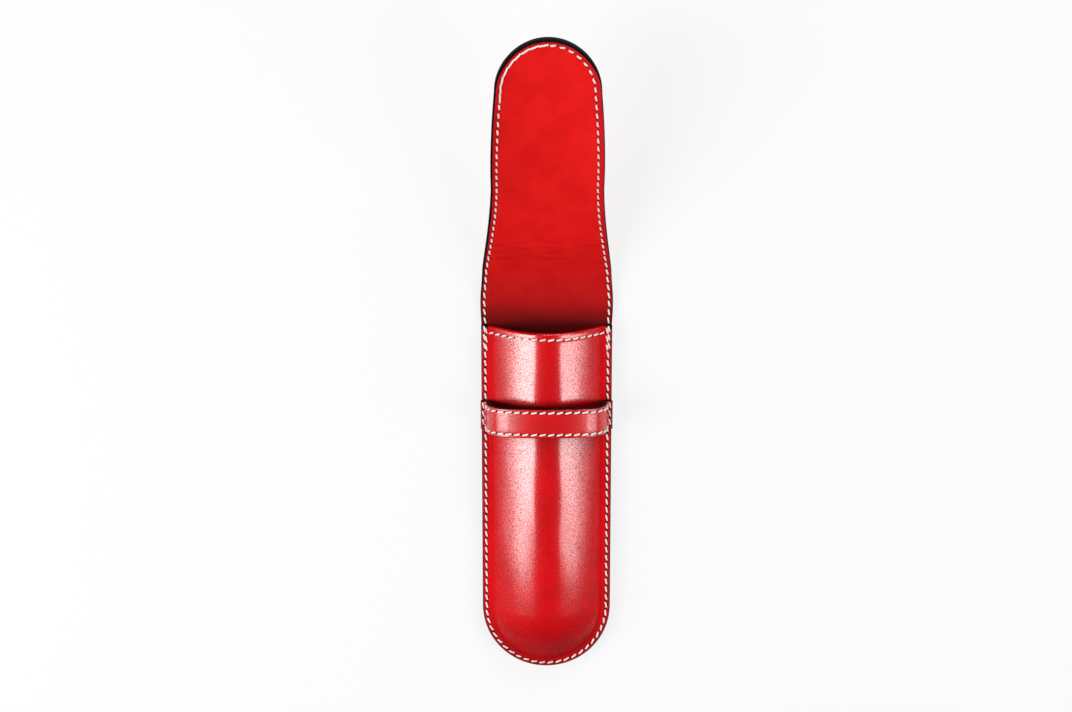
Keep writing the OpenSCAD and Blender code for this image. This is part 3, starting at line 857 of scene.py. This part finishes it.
def across_place(x, y, z, slope, q):
    """A stitch's place in a row across the sleeve, where the leather falls away by a slope."""
    turn = math.copysign(slope, q)
    ahead = np.array([math.cos(turn), 0, -math.sin(turn)])
    up = np.array([math.sin(turn), 0, math.cos(turn)])
    return np.array([math.copysign(x, q), y, z]), ahead, up, 1.0


def mouth_place(q):
    """A stitch's place in the mouth's row, at a length q of leather from the ridge."""
    x, z, slope = pocket_section(abs(q))
    y = mouth_edge(x) * (1 - mouth_inset / -bottom_cy) - mouth_inset
    return across_place(x, y, z, slope, q)


mouth_row = [mouth_place((i + 0.5) * stitch_pitch) for i in range(-mouth_stitches, mouth_stitches)]
sew("mouth_stitches", mouth_row, ["pouch"], "mouth_thread")


def band_place(q, y):
    """A stitch's place in a row of the band, at a length q of strap from its middle."""
    half = band_contour(band_t)
    run = run_along(half)
    x, z, x0, z0, x1, z1 = (np.interp(abs(q) + step, run, half[:, i])
                            for step in (0, -0.3 * mm, 0.3 * mm) for i in range(2))
    return across_place(x, y, z, math.atan2(z0 - z1, x1 - x0), q)


band_stitches = 11
for row, y in [("upper", -band_y - band_inset), ("lower", -band_y - band_w + band_inset)]:
    places = [band_place((i + 0.5) * stitch_pitch, y) for i in range(-band_stitches, band_stitches)]
    places = [place for place in places if abs(place[0][0]) < row_end_x + 0.2 * mm]
    sew("band_" + row + "_stitches", places, ["pouch"], "band_" + row + "_thread")


# Table and light
# A white table top. Two wide soft boxes to its left and right fade at their outer ends, and a
# third one stands beyond the flap. The room is nearly dark, though the camera sees it white.
bpy.ops.mesh.primitive_plane_add(size=6, location=(0, 0, 0))
table = bpy.context.object
table.name = "table"
table_top, table_shader, tone = finish("table_top")
cloud = tone.node("TexNoise", {}, {"Scale": 3.0, "Detail": 2.0})
paper = tone.mix(cloud, (0.90, 0.90, 0.90, 1), (0.86, 0.86, 0.86, 1))
plug_in(table_shader, {"Base Color": paper, "Roughness": 0.6, "Specular IOR Level": 0.2})

# Seen by the camera, the table is mostly plain white, so that only a faint shadow shows
whitening = 0.8
seen = tone.node("LightPath", {}, {}, 0)
white = tone.node("Emission", {}, {"Color": (0.97, 0.975, 0.97, 1), "Strength": 1.0})
lit = Tone(tone.tree, table_shader.outputs[0])
top = tone.node("MixShader", {}, {0: seen * whitening, 1: lit, 2: white})
tone.tree.links.new(top.socket, tone.tree.nodes["Material Output"].inputs["Surface"])
table.data.materials.append(table_top)


def soft_box(name, place, wide, deep, power):
    """A rectangular area lamp, not yet turned."""
    light = bpy.data.lights.new(name, "AREA")
    light.shape = "RECTANGLE"
    light.size = wide
    light.size_y = deep
    light.energy = power
    lamp = bpy.data.objects.new(name, light)
    lamp.location = place
    bpy.context.scene.collection.objects.link(lamp)
    return lamp


lamp_reach = 0.9
outer_fade = [(0, 0), (0.13, 0.02), (0.22, 0.12), (0.3, 0.42), (0.42, 0.75), (0.62, 1), (1, 1)]
for name, degrees, y, wide, deep, power in [("left_box", -56, -0.14, 1.15, 0.45, 12.6),
                                            ("right_box", 57.7, -0.21, 1.05, 0.32, 5.6)]:
    tilt = math.radians(degrees)
    place = (lamp_reach * math.sin(tilt), y, lamp_reach * math.cos(tilt))
    lamp = soft_box(name, place, wide, deep, power)
    lamp.rotation_euler = (0, tilt, 0)
    lamp.data.use_nodes = True
    tone = Tone(lamp.data.node_tree)
    across = tone.node("SeparateXYZ", {}, {0: tone.node("NewGeometry", {}, {}, 5)}, 0)
    inward = across if tilt < 0 else 1 - across
    glow = tone.node("ValToRGB", {"stops": outer_fade}, {0: inward})
    plug_in(lamp.data.node_tree.nodes["Emission"], {"Strength": glow})

far_box = soft_box("far_box", (0.35, 0.9, 0.62), 0.9, 0.5, 8.0)
aim = Vector((0, -0.03, 0.01)) - far_box.location
far_box.rotation_euler = aim.to_track_quat("-Z", "Y").to_euler()

room_light = 0.03
world = bpy.data.worlds.new("room")
world.use_nodes = True
tone = Tone(world.node_tree)
backdrop = world.node_tree.nodes["Background"]
backdrop.inputs["Color"].default_value = (1, 1, 1, 1)
seen = tone.node("LightPath", {}, {}, 0)
plug_in(backdrop, {"Strength": seen * (1 - room_light) + room_light})
bpy.context.scene.world = world
bpy.context.scene.view_settings.view_transform = "Standard"
